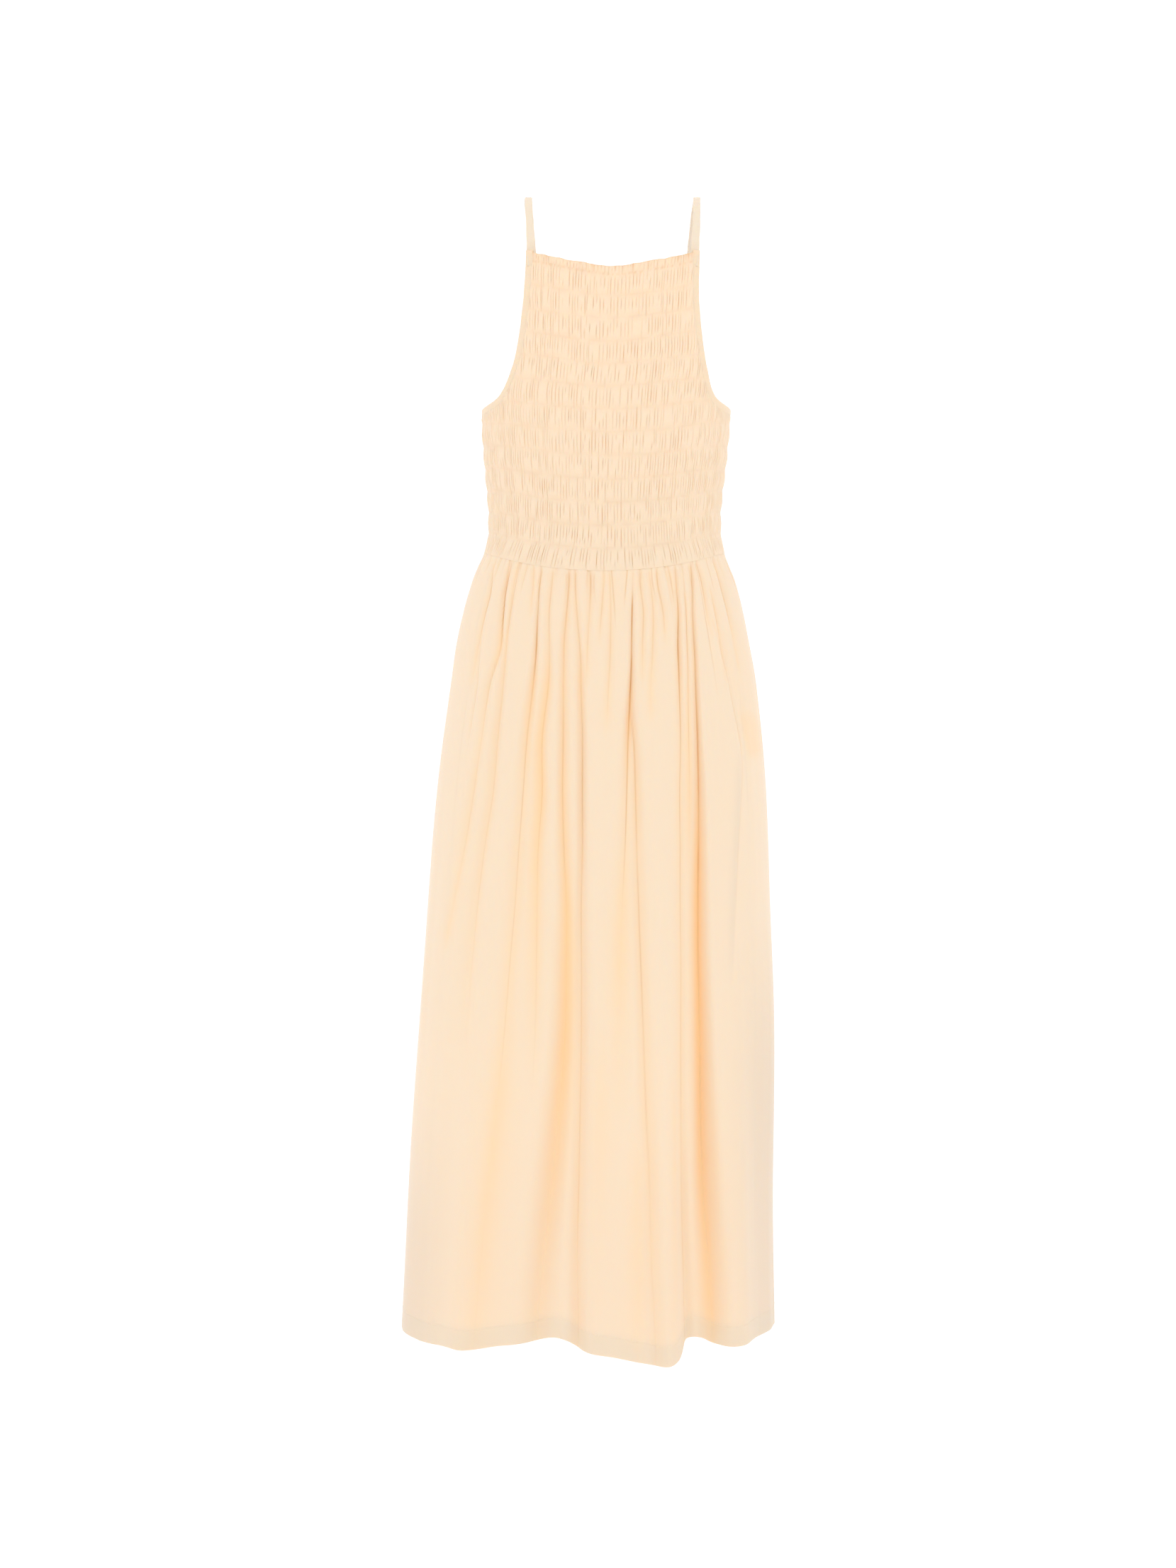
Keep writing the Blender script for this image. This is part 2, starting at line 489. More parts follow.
def noise_field(across, down, pitch_across, pitch_down, seed):
    """The same over a surface."""
    rows, columns = NOISE_FIELD_CELLS
    table = np.random.RandomState(seed).uniform(-1, 1, NOISE_FIELD_CELLS)
    row = np.floor(down / pitch_down)
    cell = np.floor(across / pitch_across)
    down_ease = smooth_step(down / pitch_down - row, 0, 1)
    across_ease = smooth_step(across / pitch_across - cell, 0, 1)
    a, b = ((cell.astype(int) + k) % columns for k in (0, 1))
    upper, lower = ((row.astype(int) + k) % rows for k in (0, 1))
    above = table[upper, a] * (1 - across_ease) + table[upper, b] * across_ease
    below = table[lower, a] * (1 - across_ease) + table[lower, b] * across_ease
    return above * (1 - down_ease) + below * down_ease


def spline(points, count):
    """Evenly spaced places on a smooth curve through points."""
    points = np.asarray(points, float)
    steps = np.r_[0, np.cumsum(np.linalg.norm(np.diff(points, axis=0), axis=1))]
    fine = np.linspace(0, steps[-1], 2000)
    curve = np.stack([value_at(steps, points[:, k], fine) for k in range(points.shape[1])], axis=1)
    run = np.r_[0, np.cumsum(np.linalg.norm(np.diff(curve, axis=0), axis=1))]
    even = np.linspace(0, run[-1], count)
    return np.stack([np.interp(even, run, curve[:, k]) for k in range(points.shape[1])], axis=1)


def armhole_edge(count):
    """Turn and height along the armhole edge on the wearer's left."""
    points = [(math.radians(p.turn) * TURN_GIRTH, p.z) for p in ARMHOLE]
    curve = spline(points, count)
    return curve[:, 0] / TURN_GIRTH, curve[:, 1]


def row_height(drop, turn, is_front):
    """Height of the cloth that lies drop below the panel's top edge."""
    bands = FRONT_BANDS if is_front else BACK_BANDS
    share = drop / (FIRST_ROW + bands * ROW_PITCH)
    corner = math.sin(math.radians(ARMHOLE[0].turn))
    neck = (NECK_RISE if is_front else 0) * (1 - share) ** 2
    neck = neck * np.abs(np.sin(turn) / corner) ** NECK_POWER
    top = NECK_Z if is_front else BACK_TOP_Z
    rise = FRONT_WAIST_RISE if is_front else BACK_WAIST_RISE
    return top - drop + neck + rise * share * np.sin(turn) ** 2


def waist_height(turn):
    """Height of the waist seam, which the gathers make a little uneven."""
    rise = np.where(np.cos(turn) > 0, FRONT_WAIST_RISE, BACK_WAIST_RISE)
    uneven = 0.45 * np.sin(31 * turn) + 0.35 * np.sin(53 * turn + 1)
    return SIDE_WAIST_Z - rise * np.cos(turn) ** 2 + uneven


# Meshes


def select_only(obj):
    bpy.ops.object.select_all(action="DESELECT")
    obj.select_set(True)
    bpy.context.view_layer.objects.active = obj


def grid_object(name, places):
    """A grid primitive whose points are moved to places, given as rows from the bottom up."""
    rows, columns = places.shape[:2]
    bpy.ops.object.select_all(action="DESELECT")
    bpy.ops.mesh.primitive_grid_add(x_subdivisions=columns - 1, y_subdivisions=rows - 1, size=1)
    obj = bpy.context.active_object
    obj.name = name
    obj.data.name = name
    if len(obj.data.vertices) != rows * columns:
        raise RuntimeError(f"{name}: the grid has {len(obj.data.vertices)} points")
    obj.data.vertices.foreach_set("co", (places * MM).ravel())
    obj.data.update()
    return obj


def mesh_object(name, points, faces):
    """A mesh from points in millimetres and faces."""
    mesh = bpy.data.meshes.new(name)
    mesh.from_pydata((np.asarray(points) * MM).tolist(), [], faces)
    mesh.validate()
    obj = bpy.data.objects.new(name, mesh)
    bpy.context.scene.collection.objects.link(obj)
    return obj


def set_tints(obj, **tints):
    """Sets how strongly each of the cloth's tints shows at each point; the rest are 0."""
    for name in ("hollow", "double", "pale", "crease"):
        values = np.zeros(len(obj.data.vertices), np.float32)
        if name in tints:
            values[:] = np.ravel(np.clip(tints[name], 0, 1))
        layer = obj.data.attributes.new(name, "FLOAT", "POINT")
        layer.data.foreach_set("value", values)


def thicken(obj, wall, offset):
    """Gives a sheet its thickness."""
    select_only(obj)
    solidify = obj.modifiers.new("wall", "SOLIDIFY")
    solidify.thickness = wall
    solidify.offset = offset
    solidify.use_rim = True
    bpy.ops.object.modifier_apply(modifier=solidify.name)


def smooth(obj):
    """Smooth shading, apart from true edges."""
    select_only(obj)
    bpy.ops.object.shade_smooth_by_angle(angle=math.radians(80))


def cloth_panel(name, places, **tints):
    """A sheet of cloth from rows of places, given from the top down, with its tints."""
    obj = grid_object(name, places[::-1])
    set_tints(obj, **{tint: values[::-1] for tint, values in tints.items()})
    return obj


def finish_piece(obj, maker, *nodes):
    """Gives a piece its material, and puts it on the dress in place of its plain solids."""
    obj.data.materials.clear()
    obj.data.materials.append(material_from(maker))
    smooth(obj)
    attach(obj, BODY)
    if nodes:
        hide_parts(*nodes)


def delete_faces(obj, doomed):
    """Deletes the faces that doomed marks."""
    select_only(obj)
    bpy.ops.object.mode_set(mode="EDIT")
    bpy.ops.mesh.select_mode(type="FACE")
    bpy.ops.mesh.select_all(action="DESELECT")
    bpy.ops.object.mode_set(mode="OBJECT")
    obj.data.polygons.foreach_set("select", doomed)
    bpy.ops.object.mode_set(mode="EDIT")
    bpy.ops.mesh.delete(type="FACE")
    bpy.ops.object.mode_set(mode="OBJECT")


def sweep_mesh(name, rings, with_ends=True):
    """A bar through rings of points, with flat ends or open ones."""
    count, around = rings.shape[:2]
    faces = []
    for i in range(count - 1):
        for j in range(around):
            k = (j + 1) % around
            a = i * around
            b = a + around
            faces.append((a + j, a + k, b + k, b + j))
    if with_ends:
        faces.append(tuple(range(around))[::-1])
        faces.append(tuple(range((count - 1) * around, count * around)))
    obj = mesh_object(name, rings.reshape(-1, 3), faces)
    select_only(obj)
    bpy.ops.object.mode_set(mode="EDIT")
    bpy.ops.mesh.select_all(action="SELECT")
    bpy.ops.mesh.normals_make_consistent(inside=False)
    bpy.ops.object.mode_set(mode="OBJECT")
    return obj


def stitches(name, starts, ends, outs, wide, high):
    """Sewn stitches as one mesh: each is a thin bar, pointed where it dives into the cloth."""
    along = ends - starts
    size = np.linalg.norm(along, axis=1, keepdims=True)
    along = along / size
    side = np.cross(along, outs)
    side /= np.linalg.norm(side, axis=1, keepdims=True)
    near = starts + along * size * 0.22
    far = ends - along * size * 0.22
    sink = outs * high * 0.6
    corners = [starts - sink]
    for middle in (near, far):
        corners += [middle + side * wide / 2, middle + outs * high, middle - side * wide / 2]
    corners.append(ends - sink)
    points = np.stack(corners, axis=1).reshape(-1, 3)
    shape = [
        (0, 1, 2), (0, 2, 3), (0, 3, 1), (1, 4, 5, 2), (2, 5, 6, 3), (3, 6, 4, 1),
        (7, 5, 4), (7, 6, 5), (7, 4, 6),
    ]
    faces = [tuple(8 * n + k for k in face) for n in range(len(starts)) for face in shape]
    return mesh_object(name, points, faces)


# Materials


def linear(hex_colour):
    """sRGB hex to linear red, green and blue."""
    values = [int(hex_colour[i : i + 2], 16) / 255 for i in (0, 2, 4)]
    return [v / 12.92 if v <= 0.04045 else ((v + 0.055) / 1.055) ** 2.4 for v in values] + [1.0]


def add_node(tree, kind, settings=None, inputs=None, links=None):
    """Adds a node with its settings, the values of its inputs and the links into them."""
    node = tree.nodes.new(kind)
    for name, value in (settings or {}).items():
        setattr(node, name, value)
    for name, value in (inputs or {}).items():
        node.inputs[name].default_value = value
    for name, source in (links or {}).items():
        tree.links.new(source, node.inputs[name])
    return node


def add_mix(tree, factor, first, second):
    """Mixes two colours; first is a value or another node's output."""
    node = tree.nodes.new("ShaderNodeMix")
    node.data_type = "RGBA"
    low, high = [socket for socket in node.inputs if socket.type == "RGBA"]
    tree.links.new(factor, node.inputs["Factor"])
    if isinstance(first, list):
        low.default_value = first
    else:
        tree.links.new(first, low)
    high.default_value = second
    return next(socket for socket in node.outputs if socket.type == "RGBA")


def new_material(name):
    material = bpy.data.materials.new(name)
    material.use_nodes = True
    material.node_tree.nodes.clear()
    return material, material.node_tree


def woven_cotton():
    """Plain woven cotton lawn: matt and a little fuzzy, with an orange glow in its folds, where
    light comes through other cloth. Its threads are about 0.25 mm apart, and here 0.9 mm, so that
    they show."""
    cloth = bpy.context.scene.dress_cloth
    thread_pitch = 0.9 * MM
    slub_length = 40 * MM
    material, tree = new_material("woven_cotton")
    place = add_node(tree, "ShaderNodeTexCoord").outputs["Object"]
    weave_place = add_node(
        tree, "ShaderNodeMapping",
        inputs={"Scale": (1 / thread_pitch, 1 / thread_pitch, 1 / thread_pitch)},
        links={"Vector": place},
    )
    weave = add_node(
        tree, "ShaderNodeTexNoise", inputs={"Scale": 1.0, "Detail": 1.0, "Roughness": 0.5},
        links={"Vector": weave_place.outputs["Vector"]},
    )
    slub_place = add_node(
        tree, "ShaderNodeMapping",
        inputs={"Scale": (1 / (2.2 * MM), 1 / (2.2 * MM), 1 / slub_length)},
        links={"Vector": place},
    )
    slub = add_node(
        tree, "ShaderNodeTexNoise", inputs={"Scale": 1.0, "Detail": 2.0, "Roughness": 0.55},
        links={"Vector": slub_place.outputs["Vector"]},
    )
    height = add_node(
        tree, "ShaderNodeMath", {"operation": "MULTIPLY_ADD"}, {1: 0.45},
        {0: slub.outputs["Fac"], 2: weave.outputs["Fac"]},
    )
    bump = add_node(
        tree, "ShaderNodeBump", inputs={"Strength": 0.22, "Distance": 0.25 * MM},
        links={"Height": height.outputs["Value"]},
    )
    hollow = add_node(tree, "ShaderNodeAttribute", {"attribute_name": "hollow"})
    shade = add_node(
        tree, "ShaderNodeMath", {"operation": "MULTIPLY_ADD", "use_clamp": True}, {1: 0.08},
        {0: slub.outputs["Fac"], 2: hollow.outputs["Fac"]},
    )
    colour = add_mix(tree, shade.outputs["Value"], linear(cloth.lit), linear(cloth.deep))
    for name in ("double", "pale", "crease"):
        tint = add_node(tree, "ShaderNodeAttribute", {"attribute_name": name})
        colour = add_mix(tree, tint.outputs["Fac"], colour, linear(getattr(cloth, name)))
    surface = add_node(
        tree, "ShaderNodeBsdfPrincipled",
        inputs={
            "Roughness": 0.82, "IOR": 1.45, "Specular IOR Level": 0.3, "Sheen Weight": 0.25,
            "Sheen Roughness": 0.35, "Subsurface Weight": 0.25, "Subsurface Scale": 2.5 * MM,
            "Subsurface Radius": (1.0, 0.55, 0.25),
        },
        links={"Base Color": colour, "Normal": bump.outputs["Normal"]},
    )
    add_node(tree, "ShaderNodeOutputMaterial", links={"Surface": surface.outputs["BSDF"]})
    return material


def spun_thread():
    """Spun polyester sewing thread: finely ribbed round its length, with a soft sheen."""
    cloth = bpy.context.scene.dress_cloth
    ply_pitch = 0.5 * MM
    material, tree = new_material("spun_thread")
    place = add_node(tree, "ShaderNodeTexCoord").outputs["Object"]
    plies = add_node(
        tree, "ShaderNodeTexWave", {"bands_direction": "DIAGONAL"},
        {"Scale": 1 / ply_pitch / 20, "Distortion": 0.6}, {"Vector": place},
    )
    bump = add_node(
        tree, "ShaderNodeBump", inputs={"Strength": 0.3, "Distance": 0.1 * MM},
        links={"Height": plies.outputs["Fac"]},
    )
    surface = add_node(
        tree, "ShaderNodeBsdfPrincipled",
        inputs={"Base Color": linear(cloth.thread), "Roughness": 0.6, "Sheen Weight": 0.1},
        links={"Normal": bump.outputs["Normal"]},
    )
    add_node(tree, "ShaderNodeOutputMaterial", links={"Surface": surface.outputs["BSDF"]})
    return material


def painted_floor():
    """Matt white studio paint, with a faint roller texture."""
    cloth = bpy.context.scene.dress_cloth
    material, tree = new_material("painted_floor")
    place = add_node(tree, "ShaderNodeTexCoord").outputs["Object"]
    roller = add_node(
        tree, "ShaderNodeTexNoise", inputs={"Scale": 220.0, "Detail": 2.0}, links={"Vector": place}
    )
    bump = add_node(
        tree, "ShaderNodeBump", inputs={"Strength": 0.05, "Distance": 0.2 * MM},
        links={"Height": roller.outputs["Fac"]},
    )
    surface = add_node(
        tree, "ShaderNodeBsdfPrincipled",
        inputs={"Base Color": linear(cloth.floor), "Roughness": 0.9, "Specular IOR Level": 0.1},
        links={"Normal": bump.outputs["Normal"]},
    )
    add_node(tree, "ShaderNodeOutputMaterial", links={"Surface": surface.outputs["BSDF"]})
    return material


def material_from(maker):
    """The material that maker makes, made once."""
    return bpy.data.materials.get(maker.__name__) or maker()


# Bodice

BODICE_COLUMNS = {"front": 720, "back": 640}
BODICE_SEEDS = {"front": 11, "back": 23}
BAND_PLACES = (0.0, 0.1, 0.28, 0.5, 0.72, 0.9)  # heights of a band's points, as shares of it
EDGE_DROPS = (0.0, 1.5, 4.0, 7.0)
RUFFLE_PITCH = 4.4
SIDE_GIRTH = 100  # millimetres of cloth in one radian of turn, beside the side seams
ARMHOLE_CUT = 0.4  # cloth nearer to the armhole edge than this is cut away
GROOVE = 3.4  # half height of the groove along a shirring row
OUT_OF_INSIDE = 0.9  # the cloth's outer face from the plain inside
GATHER_STEPS = (0.76, 1.24)  # from one crease to the next, as a share of a gather
CREASE_STRENGTHS = (0.5, 0.95)
CREASE_WIDTHS = (0.34, 0.52)  # half widths in millimetres
CREASE_REACH = 4  # how far to each side of a crease it is worked out
CREASES_LEFT_OUT = 0.06  # share of the creases that a band leaves out
SHORT_CREASES = 0.25  # share of the creases that don't cross the whole band
PRESSED = 0.15  # how far cloth under a binding stands out


def gather_creases(span, drops, gather, rng):
    """Depth, from 0 to 1, of the creases between gathers, as drops by columns."""
    depth = np.zeros((len(drops), len(span)))
    step = span[1] - span[0]
    count = int((span[-1] - span[0]) / gather * 1.6)
    base = span[0] + np.cumsum(rng.uniform(*GATHER_STEPS, count)) * gather
    base = base[base < span[-1]]
    bands = int(round((drops.max() - FIRST_ROW) / ROW_PITCH))
    # Band -1 is the casing between the edge and the first row.
    for band in range(-1, bands):
        top = FIRST_ROW + band * ROW_PITCH if band >= 0 else 0.0
        tall = ROW_PITCH if band >= 0 else FIRST_ROW
        rows = np.where((drops >= top - 0.01) & (drops <= top + tall + 0.01))[0]
        t = (drops[rows] - top) / tall
        places = base + rng.normal(0, 0.06 * gather, len(base))
        for place in places[rng.uniform(0, 1, len(places)) > CREASES_LEFT_OUT]:
            strong = rng.uniform(*CREASE_STRENGTHS)
            wide = rng.uniform(*CREASE_WIDTHS)
            lean = rng.normal(0, 0.3)
            bow = rng.normal(0, 0.2)
            low = rng.uniform(-0.15, 0.2)
            high = rng.uniform(0.75, 1.15)
            if rng.uniform() < SHORT_CREASES:
                if rng.uniform() < 0.5:
                    high = rng.uniform(0.4, 0.7)
                else:
                    low = rng.uniform(0.3, 0.6)
            window = ramp(t, low, low + 0.16, high - 0.16, high)
            first = max(int((place - CREASE_REACH - span[0]) / step), 0)
            last = min(int((place + CREASE_REACH - span[0]) / step) + 1, len(span))
            bend = lean * (t - 0.5) + bow * np.sin(np.pi * t)
            away = span[None, first:last] - place - bend[:, None]
            shape = np.exp(-(np.abs(away / wide) ** 1.5)) * window[:, None] * strong
            patch = depth[rows[0] : rows[-1] + 1, first:last]
            np.maximum(patch, shape, out=patch)
    return depth


def panel_drops(bands):
    """Distances below a panel's edge of its rows of points."""
    drops = list(EDGE_DROPS)
    for band in range(bands):
        drops += [FIRST_ROW + (band + t) * ROW_PITCH for t in BAND_PLACES]
    return np.array(drops + [FIRST_ROW + bands * ROW_PITCH])


def armhole_distance(turn, z):
    """How far cloth lies below or inside the armhole edge; below 0 it lies beyond the edge."""
    edge_turn, edge_z = armhole_edge(240)
    turn = np.abs(np.arctan2(np.sin(turn), np.cos(turn)))
    girth = girth_per_turn(turn, z)
    best = np.full(turn.shape, np.inf)
    for a, b in zip(edge_turn, edge_z):
        best = np.minimum(best, np.hypot((a - turn) * girth, b - z))
    above = z > np.interp(turn, edge_turn, edge_z)
    within = (turn > edge_turn[0]) & (turn < edge_turn[-1])
    return np.where(above & within, -best, best)


def band_profile(drops):
    """Distance from the nearest shirring row, and how far the band puffs out, from 0 to 1."""
    in_band = ((drops - FIRST_ROW) / ROW_PITCH) % 1.0
    in_casing = drops < FIRST_ROW
    from_row = np.minimum(in_band, 1 - in_band) * ROW_PITCH
    from_row = np.where(in_casing, FIRST_ROW - drops, from_row)
    puff = np.sin(np.pi * in_band) ** 1.3
    return from_row, np.where(in_casing, 0.35 * (1 - drops / FIRST_ROW), puff)


def shirred_relief(span, drops, creases, puff):
    """How far the cloth stands out, in millimetres: each band puffs out between its rows, more in
    some places than in others, and its creases sink in."""
    sizes = bpy.context.scene.dress_bodice
    puff_mm = sizes.puff / MM
    crease_mm = sizes.crease / MM
    swell = puff * (1 + 0.22 * noise_field(span + 900, drops + 50, 14, 22, 5))
    relief = 0.4 + puff_mm * 0.65 * swell + crease_mm * 0.35
    relief = relief - crease_mm * creases * (0.55 + 0.45 * puff)
    return relief + 0.12 * noise_field(span + 700, drops + 9, 1.7, 9, 8)


def shirred_tints(span, drops, creases, groove, flat):
    """The cloth's tints: glow in the hollows, and darker lines in the creases, along the rows, at
    the stitches of the casing and along the neck edge."""
    from_row = band_profile(drops)[0]
    patchy = noise_field(span + 50, drops, 23, 19, 7)
    near_row = bump_at(from_row, 3.0)
    near_row = near_row * (0.6 + 0.5 * noise_field(span + 1500, drops, 9, 12, 29))
    near_row = near_row * np.where(drops > drops[-1] - 3, 0.3, 1)
    lines = (creases**1.3 * (0.9 + 0.2 * patchy) + 0.27 * near_row) * flat
    at_casing = bump_at(drops - FIRST_ROW, 0.8)
    dots = np.clip(0.2 + noise_line(span + 650, 1.2, 17), 0, 1) * at_casing
    at_edge = np.clip(1 - drops / FIRST_ROW, 0, 1)
    ticks = np.clip(noise_line(span + 750, 1.9, 37) - 0.15, 0, 1) * at_edge
    ticks = ticks + 0.6 * bump_at(drops, 1.2)
    return {
        "hollow": (0.09 * creases + 0.06 * groove) * flat,
        "double": 0.7 * lines,
        "crease": 0.52 * lines + 0.4 * dots + 0.5 * ticks,
    }


def add_bodice_panel(side):
    """One shirred panel, made from one side to the other and cut out along the armholes."""
    is_front = side == "front"
    sizes = bpy.context.scene.dress_bodice
    middle = 0.0 if is_front else math.pi
    seam = math.pi / 2
    turn = middle + np.linspace(-seam, seam, BODICE_COLUMNS[side])[None, :]
    span = (turn - middle) * TURN_GIRTH
    drops = panel_drops(FRONT_BANDS if is_front else BACK_BANDS)[:, None]
    bottom = drops[-1, 0]
    rng = np.random.RandomState(BODICE_SEEDS[side])
    creases = gather_creases(span[0], drops[:, 0], sizes.gather / MM, rng)
    from_row, puff = band_profile(drops)
    groove = bump_at(from_row, GROOVE)
    groove = groove * (0.75 + 0.35 * noise_field(span + 1200, drops, 17, 12, 19))
    creases = creases * (1 - 0.45 * groove)
    relief = shirred_relief(span, drops, creases, puff)

    # The neck edge ripples, because its casing is gathered too.
    at_edge = np.clip(1 - drops / FIRST_ROW, 0, 1)
    ripple = noise_line(span + 500, RUFFLE_PITCH, 3) + 0.5 * noise_line(span + 800, 1.9, 4)
    relief = relief + 0.9 * at_edge * ripple
    z = row_height(drops, turn, is_front)
    z = z + 0.7 * at_edge**2 * noise_line(span + 300, 5.5, 6)
    wander = noise_field(span + 100, drops, 38, 25, 9)
    z = z + 1.5 * wander * ramp(drops, 0, FIRST_ROW, bottom - 20, bottom)

    # Under the armhole binding the cloth is pressed flat, and the seams draw it in.
    turn = np.broadcast_to(turn, z.shape)
    away = armhole_distance(turn, z)
    flat = smooth_step(away, 5.4, 8.0)
    relief = PRESSED + (relief - PRESSED) * flat
    from_seam = (seam - np.abs(turn - middle)) * SIDE_GIRTH
    relief = relief * (0.45 + 0.55 * smooth_step(from_seam, 0.0, 2.0))
    relief = relief - 0.25 * bump_at(bottom - drops, 2.0)
    places = figure_place(turn, z, OUT_OF_INSIDE + relief)
    tints = shirred_tints(span, drops, creases, groove, flat)
    obj = cloth_panel(f"{side}_bodice_cloth", places, **tints)
    beyond = away[::-1] < ARMHOLE_CUT
    lost = beyond[:-1, :-1] | beyond[1:, :-1] | beyond[:-1, 1:] | beyond[1:, 1:]
    delete_faces(obj, lost.ravel())
    thicken(obj, sizes.wall, -1)
    finish_piece(obj, woven_cotton, f"bodice_{side}")


# Skirt

SKIRT_COLUMNS = {"front": 560, "back": 540}
SKIRT_ROWS = 86
SKIRT_SEEDS = {"front": 31, "back": 47}
SKIRT_GIRTH = 150  # millimetres of cloth in one radian of turn, at the hip
PLEAT_GIRTH = 140  # and where the pleats are
WAIST_GIRTH = 120  # and at the waist
SKIRT_OUT = 1.35  # the cloth's outer face from the plain inside
HEM_OUT = -0.15  # and that of the turned hem, which lies inside the skirt
HEM_WALL = 0.5 * MM
FOLD_ROUNDNESS = 1.7
LINE_WIDTH = 0.6  # half width of the sharp line in a fold, in millimetres
LINE_DEPTH = 0.6
GATHERED_TOP = -445  # folds that start above this height start at the waist seam
PLEAT_LENGTHS = {"front": 25, "back": 60}
TUCK = 2.5  # how far the skirt's top edge runs up behind the bodice
POCKET_TOP = 575  # how far below the shoulders the pocket's mouth starts and ends
POCKET_END = 702
SkirtCloth = namedtuple("SkirtCloth", "turn z below depth glow crease")


def panel_turns(side):
    """The turns of a skirt panel's side seams."""
    return (-SKIRT_SEAM, SKIRT_SEAM) if side == "front" else (SKIRT_SEAM, 2 * math.pi - SKIRT_SEAM)


def from_side_seam(side, turn):
    """Millimetres of cloth from the nearest side seam."""
    low, high = panel_turns(side)
    return np.minimum(turn - low, high - turn) * SKIRT_GIRTH


def track_away(one, turn, z, is_front):
    """Millimetres across the cloth from a fold's line. The place is where the fold's bottom is
    seen, so a deep fold lies a little further out than its bottom looks."""
    keys = column(one.track, "z")
    _, half, front, back = section(z)
    deep = np.maximum(value_at(keys, column(one.track, "deep"), z), 0)
    share = value_at(keys, column(one.track, "share"), z) * SEEN_TO_TRUE * (1 + deep / half)
    share = np.clip(share, -0.99, 0.99)
    centre = np.arcsin(share) if is_front else math.pi - np.arcsin(share)
    away = np.arctan2(np.sin(turn - centre), np.cos(turn - centre))
    return away * (half + (front if is_front else back)) / 2


def add_track(cloth, one, is_front):
    """Adds one fold to the cloth's depth, its glow and its sharp lines."""
    turn, z, below, depth, glow, crease = cloth
    keys = column(one.track, "z")
    deep, wide, dark, orange = (
        value_at(keys, column(one.track, name), z) for name in ("deep", "wide", "line", "glow")
    )
    top, end = one.track[0], one.track[-1]
    if top.z > GATHERED_TOP:
        ease = smooth_step(below, -3, 8)
    else:
        ease = smooth_step(-z, -top.z - 18, -top.z + 8)
    if end.deep == 0:
        ease = ease * (1 - smooth_step(-z, -end.z - 20, -end.z + 12))
    across = track_away(one, turn, z, is_front)
    left = (across > 0) == is_front
    reach = wide * np.where(left, 1 + one.skew, 1 - one.skew)
    shape = np.exp(-(np.abs(across / reach) ** FOLD_ROUNDNESS))
    # A fold is shallow where the gathers hold it, and opens out again towards the hem.
    loose = 0.72 + 0.28 * ramp(-z, 480, 700, 1080, 1260)
    depth += deep * ease * shape * loose
    np.maximum(glow, orange * ease * (0.5 * shape**3 + 0.35 * shape), out=glow)
    worn = 0.85 + 0.2 * noise_line(-z + 3000 + 70 * top.share, 38, 18)
    line = np.maximum(dark, 0) * ease * worn * bump_at(across, LINE_WIDTH)
    depth += LINE_DEPTH * np.minimum(line, 1)
    np.maximum(crease, line, out=crease)


def skirt_surface(side, share):
    """A panel's cloth at shares of the way from the waist seam to the hem."""
    is_front = side == "front"
    turn = np.linspace(*panel_turns(side), SKIRT_COLUMNS[side])
    turn = np.broadcast_to(turn[None, :], (len(share), len(turn)))
    top = waist_height(turn)
    lift = value_at(column(HEM_LIFT, "share"), column(HEM_LIFT, "lift"), np.sin(turn))
    wave = -1.5 + 2.5 * np.sin(turn) + 4 * np.cos(turn) * np.sin(3 * turn)
    hem = HEM_Z + (lift if is_front else wave)
    z = top + (hem - top) * share[:, None]
    below = top - z
    cloth = SkirtCloth(turn, z, below, *(np.zeros(z.shape) for _ in range(3)))
    for folds, on_front in ((FRONT_FOLDS, True), (BACK_FOLDS, False)):
        for one in folds:
            add_track(cloth, one, on_front)
    # The side seams hold the cloth straight, so it only waves away from them.
    ripple = noise_field(turn * SKIRT_GIRTH + 3000, below + 10, 17, 170, 14)
    ripple = 0.8 * ripple * smooth_step(below, 30, 160)
    wrinkle = noise_field(turn * SKIRT_GIRTH + 2500, below + 900, 6, 150, 15)
    wrinkle = 0.16 * wrinkle * smooth_step(below, 20, 90)
    depth = cloth.depth
    depth += (ripple + wrinkle) * (1 - bump_at(from_side_seam(side, turn), 9))
    return cloth


def add_pleats(cloth, side, rng):
    """Adds short pleats that start near the waist seam and die out at different lengths. Each has
    a sharp line with a soft hollow on one side of it."""
    turn, _, below, depth, glow, crease = cloth
    sizes = bpy.context.scene.dress_skirt
    count = sizes.pleats if side == "front" else sizes.back_pleats
    low, high = panel_turns(side)
    starts = np.linspace(low, high, count + 2)[1:-1]
    for start in starts + rng.normal(0, 0.2 * (high - low) / count, count):
        length = 18 + rng.exponential(PLEAT_LENGTHS[side])
        deep = rng.uniform(0.3, 1.1)
        drift = rng.normal(0, 0.014)
        bow = rng.normal(0, 0.006)
        facing = rng.choice([-1, 1])
        first = rng.uniform(-6, 5)
        share = np.clip(below / length, 0, 1.3)
        across = (turn - start - drift * share - bow * np.sin(3 * share)) * PLEAT_GIRTH * facing
        fade = smooth_step(below, first - 2, first + 3) * (1 - smooth_step(share, 0.5, 1.25))
        wide = 1.6 + rng.uniform(3, 8) * np.sqrt(share)
        hollow = np.exp(-(np.abs(across / np.where(across > 0, wide, 1.0)) ** 1.5))
        depth += deep * fade * hollow
        line = rng.uniform(0.1, 0.55) * fade * bump_at(across, LINE_WIDTH)
        np.maximum(glow, 0.16 * deep * fade * hollow, out=glow)
        np.maximum(crease, line, out=crease)


